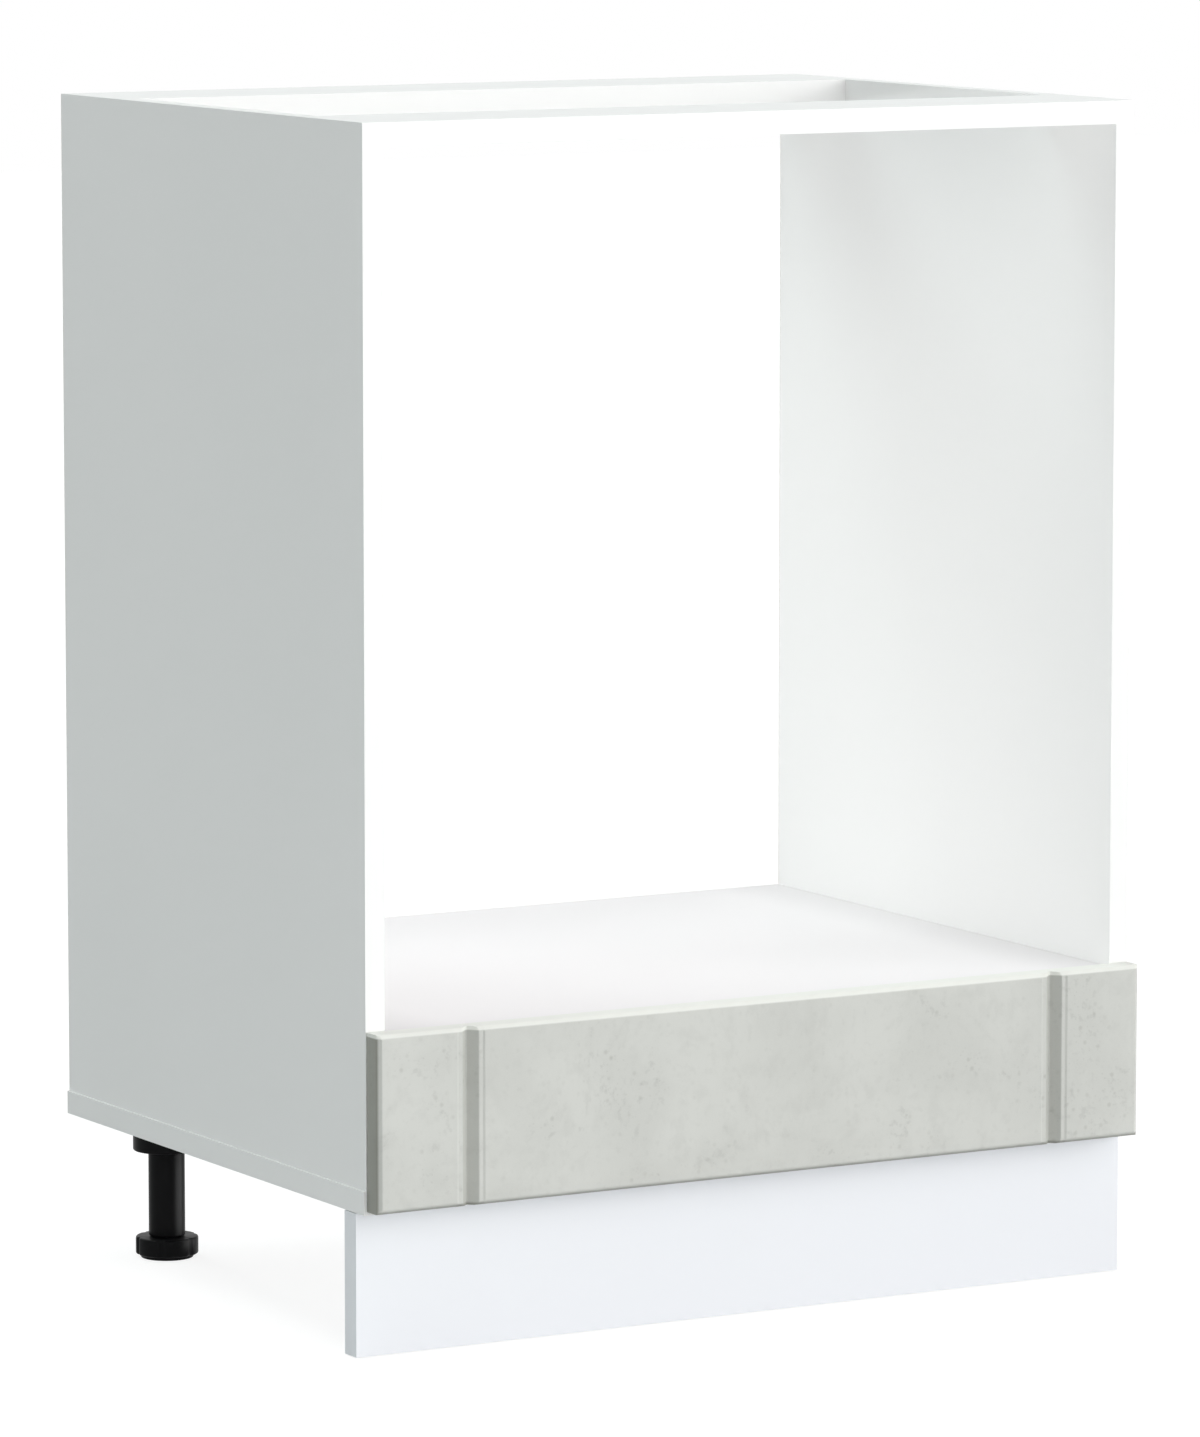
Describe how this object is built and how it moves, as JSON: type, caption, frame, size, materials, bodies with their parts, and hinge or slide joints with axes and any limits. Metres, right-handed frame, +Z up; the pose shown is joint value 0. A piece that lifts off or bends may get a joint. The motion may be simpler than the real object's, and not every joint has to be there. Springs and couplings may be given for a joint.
{
  "type": "oven base cabinet",
  "caption": "Kitchen base cabinet with an open niche for a built-in oven, a shallow drawer on roller runners below it, levelling legs and a clip-on plinth.",
  "frame": {"origin": "on the floor, under the middle of the cabinet's outer box", "axes": "+X to the cabinet's right seen from the front, +Y to the rear, +Z up; the drawer front faces -Y"},
  "size_m": [0.6, 0.46, 0.815],
  "materials": {
    "white_board": "white melamine-faced board, satin",
    "concrete_front": "matt foil with a light concrete look on board",
    "hardboard": "white faced hardboard",
    "black_plastic": "black moulded plastic, satin",
    "roller_nylon": "natural nylon",
    "runner_steel": "white epoxy coated sheet steel",
    "steel_screws": "bright zinc plated steel",
    "zinc": "die-cast zinc, dull",
    "beech_dowels": "fluted beech"
  },
  "bodies": {
    "carcass": {"side_panel_left": "white_board", "side_panel_right": "white_board", "bottom_panel": "white_board", "oven_shelf": "white_board", "front_top_rail": "white_board", "rear_top_rail": "white_board", "cam_locks": "zinc", "cam_bolts": "steel_screws", "carcass_dowels": "beech_dowels", "leg_socket_front_left": "black_plastic", "leg_socket_front_right": "black_plastic", "leg_socket_rear_left": "black_plastic", "leg_socket_rear_right": "black_plastic", "leg_tube_front_left": "black_plastic", "leg_tube_front_right": "black_plastic", "leg_tube_rear_left": "black_plastic", "leg_tube_rear_right": "black_plastic", "leg_screws": "steel_screws", "cabinet_runner_left": "runner_steel", "cabinet_runner_right": "runner_steel", "cabinet_runner_screws": "steel_screws", "front_roller_pins": "zinc"},
    "drawer": {"drawer_front": "concrete_front", "drawer_inner_front": "white_board", "drawer_side_left": "white_board", "drawer_side_right": "white_board", "drawer_back": "white_board", "drawer_bottom": "hardboard", "front_fixing_screws": "steel_screws", "drawer_box_screws": "steel_screws", "drawer_runner_left": "runner_steel", "drawer_runner_right": "runner_steel", "drawer_runner_screws": "steel_screws", "rear_roller_pins": "zinc"},
    "front_roller_left": {"front_roller_left": "roller_nylon"},
    "front_roller_right": {"front_roller_right": "roller_nylon"},
    "rear_roller_left": {"rear_roller_left": "roller_nylon"},
    "rear_roller_right": {"rear_roller_right": "roller_nylon"},
    "plinth": {"plinth_panel": "white_board", "plinth_clip_left": "black_plastic", "plinth_clip_right": "black_plastic", "plinth_clip_screws": "steel_screws"},
    "foot_front_left": {"leg_foot_front_left": "black_plastic"},
    "foot_front_right": {"leg_foot_front_right": "black_plastic"},
    "foot_rear_left": {"leg_foot_rear_left": "black_plastic"},
    "foot_rear_right": {"leg_foot_rear_right": "black_plastic"}
  },
  "joints": [
    {"name": "drawer_slide", "type": "slide", "parent": "carcass", "child": "drawer", "axis": [0, -1, 0], "range_m": [0, 0.3]},
    {"name": "front_roller_left_spin", "type": "hinge", "parent": "carcass", "child": "front_roller_left", "pos_m": [-0.2791, -0.197, 0.1332], "axis": [1, 0, 0], "range_deg": [0, 2149.59]},
    {"name": "rear_roller_left_spin", "type": "hinge", "parent": "drawer", "child": "rear_roller_left", "pos_m": [-0.2767, 0.172, 0.1294], "axis": [1, 0, 0], "range_deg": [0, 2149.59]},
    {"name": "front_roller_right_spin", "type": "hinge", "parent": "carcass", "child": "front_roller_right", "pos_m": [0.2791, -0.197, 0.1332], "axis": [1, 0, 0], "range_deg": [0, 2149.59]},
    {"name": "rear_roller_right_spin", "type": "hinge", "parent": "drawer", "child": "rear_roller_right", "pos_m": [0.2767, 0.172, 0.1294], "axis": [1, 0, 0], "range_deg": [0, 2149.59]},
    {"name": "foot_front_left_screw", "type": "slide", "parent": "carcass", "child": "foot_front_left", "axis": [0, 0, -1], "range_m": [0, 0.02]},
    {"name": "foot_front_right_screw", "type": "slide", "parent": "carcass", "child": "foot_front_right", "axis": [0, 0, -1], "range_m": [0, 0.02]},
    {"name": "foot_rear_left_screw", "type": "slide", "parent": "carcass", "child": "foot_rear_left", "axis": [0, 0, -1], "range_m": [0, 0.02]},
    {"name": "foot_rear_right_screw", "type": "slide", "parent": "carcass", "child": "foot_rear_right", "axis": [0, 0, -1], "range_m": [0, 0.02]},
    {"name": "plinth_pull", "type": "slide", "parent": "carcass", "child": "plinth", "axis": [0, -1, 0], "range_m": [0, 0.08]}
  ],
  "couplings": [
    {"joint": "front_roller_left_spin", "follows": "drawer_slide", "rad_per_m": 125},
    {"joint": "rear_roller_left_spin", "follows": "drawer_slide", "rad_per_m": 125},
    {"joint": "front_roller_right_spin", "follows": "drawer_slide", "rad_per_m": 125},
    {"joint": "rear_roller_right_spin", "follows": "drawer_slide", "rad_per_m": 125}
  ]
}
